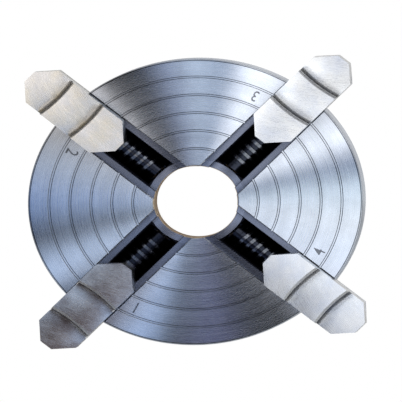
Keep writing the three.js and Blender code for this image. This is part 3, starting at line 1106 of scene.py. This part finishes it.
def jaw_blank(settings):
    """One jaw with its steps, guide grooves, broken edges and half nut."""
    bottom = FACE_Z - SLOT_DEPTH + GAP
    jaw = prism("jaw", jaw_outline(), bottom, JAW_TOP)
    guide_tools = []
    near = JAW_NOSE_R - BEYOND
    far = JAW_NOSE_R + JAW_LENGTH + BEYOND
    for side in (-1, 1):
        edges = [side * (TONGUE_HALF_GAP - GAP), side * (JAW_HALF_WIDTH + BEYOND)]
        corners = [(x, y) for x, y in zip((near, far, far, near), sorted(edges * 2))]
        guide_tools.append(
            prism(
                "guide_tool", corners,
                FACE_Z - TONGUE_BACK_DEPTH - GAP, FACE_Z - TONGUE_FRONT_DEPTH + GAP,
            )
        )
    cut(jaw, *step_tools(settings, 0), *step_tools(settings, 1), *guide_tools)
    select_only(jaw)
    broken_edges = jaw.modifiers.new("broken_edges", "BEVEL")
    broken_edges.width = settings.edge_bevel
    broken_edges.segments = 1
    broken_edges.limit_method = "ANGLE"
    broken_edges.angle_limit = math.radians(40)
    bpy.ops.object.modifier_apply(modifier=broken_edges.name)
    tidy_faces(jaw)
    nut = threaded_rod("nut_tool", near - THREAD_PITCH, far + THREAD_PITCH, GAP, 32)
    return cut(jaw, place(nut, ON_SCREW_AXIS))


class CHUCK_OT_jaws(bpy.types.Operator):
    """Model the stepped jaws, reversed so that their tall step is next to the work"""

    bl_idname = "chuck.jaws"
    bl_label = "Jaws"

    def execute(self, context):
        settings = context.scene.chuck
        jaw = jaw_blank(settings.jaw)
        for number in JAW_NUMBERS:
            [piece] = at_station([jaw], JAW_ANGLES[number])
            piece.name = f"stepped_jaw_{number}"
            finish = ground_steel(settings.jaw, settings.finish, number)
            hand_over(piece, f"jaw_{number}", finish, f"jaw_{number}")
        discard([jaw])
        return {"FINISHED"}


# ---------------------------------------------------------------- small pieces


def plug_blank():
    """A thrust bearing: a round plug with a fork that sits in its screw's neck."""
    back = RIM_BACK_Z + GAP
    edge = 0.5 * MM
    plug = spun(
        "plug",
        [
            (0, back), (PLUG_RADIUS - edge, back), (PLUG_RADIUS, back + edge),
            (PLUG_RADIUS, FORK_TOP_Z - edge), (PLUG_RADIUS - edge, FORK_TOP_Z),
            (0, FORK_TOP_Z),
        ],
    )
    wide = PLUG_RADIUS + BEYOND
    high = FORK_TOP_Z + BEYOND
    tools = []
    for side in (-1, 1):
        edges = [side * FORK_HALF_THICKNESS, side * wide]
        corners = list(zip(sorted(edges * 2), (-wide, wide, wide, -wide)))
        tools.append(prism("shoulder_tool", corners, PLUG_SHOULDER_Z, high))
    neck = rod("neck_tool", FORK_BORE_RADIUS, -wide, wide)
    tools.append(place(neck, ON_SCREW_AXIS))
    fork = FORK_BORE_RADIUS
    mouth = [(-wide, -fork), (wide, -fork), (wide, fork), (-wide, fork)]
    tools.append(prism("mouth_tool", mouth, SCREW_Z, high))
    # A tapped hole in the back, for drawing the plug out.
    tools.append(rod("puller_tool", 2.1 * MM, back - BEYOND, back + 7 * MM, 24))
    top = RIM_BACK_Z + SET_SCREW_LENGTH + 2 * GAP
    grub = rod("grub_tool", SET_SCREW_RADIUS + 0.1 * MM, back - BEYOND, top, 24)
    tools.append(place(grub, Matrix.Translation((0, PLUG_RADIUS + GAP, 0))))
    cut(plug, *tools)
    return place(plug, Matrix.Translation((PLUG_R, 0, 0)))


def ridged(radius, depth, low, high, pitch):
    """Profile points up a plain thread: one ridge a pitch."""
    count = int((high - low) / pitch)
    points = []
    for i in range(count):
        points += [(radius - depth, low + i * pitch), (radius, low + (i + 0.5) * pitch)]
    return points + [(radius - depth, low + count * pitch)]


def set_screw_blank():
    back = RIM_BACK_Z + GAP
    high = RIM_BACK_Z + SET_SCREW_LENGTH
    profile = [(0, back), (SET_SCREW_RADIUS - 0.5 * MM, back)]
    profile += ridged(SET_SCREW_RADIUS, 0.35 * MM, back + 0.5 * MM, high - 0.4 * MM, 1 * MM)
    profile += [(SET_SCREW_RADIUS - 0.9 * MM, high), (0, high)]
    screw = spun("set_screw", profile, 32)
    cut(screw, prism("hex_tool", hexagon(3 * MM), back - BEYOND, back + 3 * MM))
    return place(screw, Matrix.Translation((PLUG_R, PLUG_RADIUS + GAP, 0)))


class CHUCK_OT_bearings(bpy.types.Operator):
    """Model the thrust bearings and the set screws that hold them"""

    bl_idname = "chuck.bearings"
    bl_label = "Thrust bearings"

    def execute(self, context):
        finish = machined_steel(context.scene.chuck.finish)
        blanks = {"thrust_bearing": plug_blank(), "bearing_set_screw": set_screw_blank()}
        for number in JAW_NUMBERS:
            for kind, blank in blanks.items():
                [piece] = at_station([blank], JAW_ANGLES[number])
                piece.name = f"{kind}_finished_{number}"
                hand_over(
                    piece, "chuck_body", finish, f"{kind}_{number}"
                )
        discard(blanks.values())
        return {"FINISHED"}


def stud_blank():
    """A cam-lock stud: notched for the spindle's cam and fluted for its lock screw."""
    back = -STUD_PROJECTION
    nose = 1.5 * MM
    profile = [
        (0, back), (STUD_RADIUS - nose, back), (STUD_RADIUS, back + nose),
        (STUD_RADIUS, -1.2 * MM), (STUD_RADIUS - 0.25 * MM, -0.9 * MM),
        (STUD_RADIUS - 0.25 * MM, -0.6 * MM), (STUD_RADIUS, -0.3 * MM),
        (STUD_RADIUS, STUD_SEAT_DEPTH),
    ]
    profile += ridged(
        STUD_THREAD_RADIUS, 0.7 * MM, STUD_SEAT_DEPTH + 0.5 * MM, STUD_THREAD_END - 1 * MM,
        1.5 * MM,
    )
    profile += [(0, STUD_THREAD_END)]
    stud = spun("stud", profile)
    cam = place(rod("cam_tool", 9.5 * MM, -10 * MM, 10 * MM), ALONG_X)
    place(cam, Matrix.Translation((0, 12.5 * MM, -14 * MM)))
    flute = rod(
        "flute_tool", LOCK_HEAD_RADIUS + GAP, back - BEYOND, STUD_SEAT_DEPTH + 0.1 * MM
    )
    place(flute, Matrix.Translation((LOCK_OFFSET, 0, 0)))
    cut(stud, cam, flute)
    return place(stud, Matrix.Translation((STUD_CIRCLE_RADIUS, 0, 0)))


def lock_screw_blank():
    edge = 0.5 * MM
    profile = [
        (0, GAP), (LOCK_HEAD_RADIUS - edge, GAP), (LOCK_HEAD_RADIUS, GAP + edge),
        (LOCK_HEAD_RADIUS, GAP + LOCK_HEAD_HEIGHT),
    ]
    profile += ridged(
        LOCK_SHANK_RADIUS, 0.35 * MM, GAP + LOCK_HEAD_HEIGHT + 0.2 * MM, LOCK_END - 0.3 * MM,
        1 * MM,
    )
    profile += [(0, LOCK_END)]
    screw = spun("lock_screw", profile, 40)
    cut(screw, prism("hex_tool", hexagon(5 * MM), GAP - BEYOND, GAP + LOCK_HEAD_HEIGHT / 2))
    return place(screw, Matrix.Translation((STUD_CIRCLE_RADIUS + LOCK_OFFSET, 0, 0)))


class CHUCK_OT_studs(bpy.types.Operator):
    """Model the cam-lock studs and the cap screws that lock them"""

    bl_idname = "chuck.studs"
    bl_label = "Cam-lock studs"

    def execute(self, context):
        finish = machined_steel(context.scene.chuck.finish)
        blanks = {"camlock_stud": stud_blank(), "stud_lock_screw": lock_screw_blank()}
        for number, angle in enumerate(STUD_ANGLES, 1):
            for kind, blank in blanks.items():
                [piece] = at_station([blank], math.radians(angle))
                piece.name = f"{kind}_finished_{number}"
                hand_over(
                    piece, "chuck_body", finish, f"{kind}_{number}"
                )
        discard(blanks.values())
        return {"FINISHED"}


# ---------------------------------------------------------------- stage


# The light panel's tone round the chuck's axis, anticlockwise from the right as the camera
# sees it: degrees, colour and brightness. The bright metal mirrors it.
PANEL_TONES = (
    (0, "E8F6FF", 1.85), (12, "A8C4F4", 0.55), (24, "FAFCFF", 2.7), (45, "E4E8F4", 0.5),
    (67, "FAFCFF", 3.1), (78, "CCE0FF", 0.9), (90, "DCECFF", 1.5), (100, "CCDCFF", 0.9),
    (110, "FFFFFF", 0.02), (122, "FFFFFF", 0.02), (135, "FFFAF8", 2.6), (148, "FFF6EA", 0.65),
    (162, "E0ECFF", 0.95), (178, "A8C8FF", 0.95), (192, "FFFFFF", 0.02), (206, "C8DCFA", 1.75),
    (218, "FFE0D0", 0.05), (232, "FFE4D8", 0.25), (245, "BCD6FF", 1.6), (255, "FFFFFF", 0.02),
    (270, "B8BCFF", 0.35), (284, "FFFFFF", 0.02), (300, "FFFFFF", 0.02), (315, "F0F4FF", 2.0),
    (330, "ECF4FF", 2.1), (345, "F8FCFF", 1.9), (360, "E8F6FF", 1.85),
)


def add_panel(settings):
    """A round light panel that hangs in front of the chuck, out of the camera's sight."""
    bpy.ops.object.select_all(action="DESELECT")
    bpy.ops.mesh.primitive_circle_add(vertices=96, radius=0.7, fill_type="NGON")
    panel = bpy.context.object
    panel.name = "light_panel"
    panel.rotation_euler.x = math.pi / 2
    panel.location.y = -(FACE_Z + settings.panel_distance)
    glow = bpy.data.materials.new("light_panel")
    glow.use_nodes = True
    tree = glow.node_tree
    tree.nodes.clear()
    where = add(tree, "ShaderNodeTexCoord").outputs["Object"]
    ways = add(tree, "ShaderNodeSeparateXYZ", {0: where}).outputs
    turn = add(tree, MATHS, {0: ways["Y"], 1: ways["X"]}, operation="ARCTAN2").outputs[0]
    turn = add(tree, MATHS, {0: turn, 1: 0.0, 2: math.tau}, operation="WRAP").outputs[0]
    share = add(tree, MATHS, {0: turn, 1: math.tau}, operation="DIVIDE")
    ramp = add(tree, "ShaderNodeValToRGB", {0: share.outputs[0]})
    stops = ramp.color_ramp.elements
    stops.remove(stops[1])
    for degrees, colour, brightness in PANEL_TONES:
        stop = stops.new(min(degrees / 360, 1.0)) if degrees else stops[0]
        tone = [c * brightness / PANEL_MAX for c in linear(colour)]
        stop.color = (*tone, 1)
    emission = add(
        tree, "ShaderNodeEmission", {"Color": ramp.outputs[0], "Strength": PANEL_MAX}
    )
    add(tree, "ShaderNodeOutputMaterial", {"Surface": emission.outputs[0]})
    panel.data.materials.append(glow)
    panel.visible_camera = False


PANEL_MAX = max(brightness for _, _, brightness in PANEL_TONES)


def add_room(scene, settings):
    """A room that looks white but lights the metal only softly."""
    room = bpy.data.worlds.new("white_room")
    room.use_nodes = True
    tree = room.node_tree
    tree.nodes.clear()
    way = add(tree, "ShaderNodeTexCoord").outputs["Generated"]
    front_to_back = add(tree, "ShaderNodeSeparateXYZ", {0: way}).outputs["Y"]
    glow = add(
        tree, RANGE,
        {
            "Value": front_to_back, "From Min": -0.2, "From Max": 0.5,
            "To Min": settings.fill, "To Max": settings.back_fill,
        },
    ).outputs["Result"]
    side = add(
        tree, VECTOR, {0: way, 1: (0.7, 0, 0.7)}, operation="DOT_PRODUCT"
    ).outputs["Value"]
    side = add(
        tree, RANGE,
        {"Value": side, "From Min": -0.6, "From Max": 0.4, "To Min": 0.2, "To Max": 1.0},
    ).outputs["Result"]
    glow = add(tree, MATHS, {0: glow, 1: side}, operation="MULTIPLY").outputs[0]
    seen = add(tree, "ShaderNodeLightPath").outputs["Is Camera Ray"]
    strength = add(tree, MATHS, {0: glow, 1: seen}, operation="MAXIMUM").outputs[0]
    light = add(tree, "ShaderNodeBackground", {"Color": (1, 1, 1, 1), "Strength": strength})
    add(tree, "ShaderNodeOutputWorld", {"Surface": light.outputs[0]})
    scene.world = room
    scene.view_settings.view_transform = "Standard"


def add_camera(settings):
    """A parallel camera in front of the face, a little to the right and above. It looks
    obliquely, so that a circle on the face comes out wider than it is tall."""
    scene = bpy.context.scene
    right = Vector((math.cos(settings.roll), 0, -math.sin(settings.roll)))
    up = Vector((math.sin(settings.roll), 0, math.cos(settings.roll)))
    front = Vector((0, -1, 0))
    offset_right = 0.036
    offset_up = 0.02
    back = (front + offset_right * right + offset_up * up).normalized()
    # The sideways axis leans this far to the front, so that the sideways scale comes out
    # 1 / squash. Blender keeps the axis one long.
    squash = settings.squash
    spread = 1 + offset_right**2
    lean = (math.sqrt(spread - squash**2) - squash * offset_right) / spread
    across = (squash + lean * offset_right) * right + lean * front
    target = Vector((0, -FACE_Z, 0)) + 3.3 * MM * right + 0.7 * MM * up
    data = bpy.data.cameras.new("view")
    data.type = "ORTHO"
    data.ortho_scale = settings.view_height
    data.clip_end = 10
    camera = bpy.data.objects.new("view", data)
    rig = bpy.data.objects.new("view_rig", None)
    scene.collection.objects.link(camera)
    scene.collection.objects.link(rig)
    slanted = Matrix((across, up, back)).transposed().to_4x4()
    slanted.translation = target + 0.8 * back
    camera.parent = rig
    camera.matrix_parent_inverse = slanted
    scene.camera = camera


class CHUCK_OT_stage(bpy.types.Operator):
    """Set the pale floor, the soft light and the camera"""

    bl_idname = "chuck.stage"
    bl_label = "Stage"

    def execute(self, context):
        scene = context.scene
        settings = scene.chuck.stage
        bpy.ops.object.select_all(action="DESELECT")
        bpy.ops.mesh.primitive_circle_add(vertices=96, radius=2.5, fill_type="NGON")
        floor = context.object
        floor.name = "floor"
        floor.location.z = -settings.floor_drop
        paper = bpy.data.materials.new("matt_white_paper")
        paper.use_nodes = True
        shader = paper.node_tree.nodes["Principled BSDF"]
        shader.inputs["Base Color"].default_value = (*linear("F2F2F0"), 1)
        shader.inputs["Roughness"].default_value = 0.9
        floor.data.materials.append(paper)

        add_room(scene, settings)
        add_panel(settings)
        add_camera(settings)
        return {"FINISHED"}


class CHUCK_PT_sidebar(bpy.types.Panel):
    bl_label = "Lathe chuck"
    bl_idname = "CHUCK_PT_sidebar"
    bl_space_type = "VIEW_3D"
    bl_region_type = "UI"
    bl_category = "Chuck"

    def draw(self, context):
        settings = context.scene.chuck
        for heading, group in (
            ("Body", settings.body), ("Jaws", settings.jaw),
            ("Finish", settings.finish), ("Stage", settings.stage),
        ):
            box = self.layout.box()
            box.label(text=heading)
            for name in group.bl_rna.properties.keys():
                if name not in ("rna_type", "name"):
                    box.prop(group, name)
        for operator in OPERATORS:
            self.layout.operator(operator.bl_idname)


OPERATORS = (
    CHUCK_OT_stage,
    CHUCK_OT_body,
    CHUCK_OT_screws,
    CHUCK_OT_jaws,
    CHUCK_OT_bearings,
    CHUCK_OT_studs,
)

CLASSES = (
    ChuckBodySettings,
    ChuckJawSettings,
    ChuckFinishSettings,
    ChuckStageSettings,
    ChuckSettings,
    *OPERATORS,
    CHUCK_PT_sidebar,
)


def register():
    for each in CLASSES:
        bpy.utils.register_class(each)
    bpy.types.Scene.chuck = PointerProperty(type=ChuckSettings)


def unregister():
    del bpy.types.Scene.chuck
    for each in reversed(CLASSES):
        bpy.utils.unregister_class(each)


def main():
    register()
    bpy.ops.chuck.stage()
    bpy.ops.chuck.body()
    bpy.ops.chuck.screws()
    bpy.ops.chuck.jaws()
    bpy.ops.chuck.bearings()
    bpy.ops.chuck.studs()


if __name__ == "__main__":
    main()
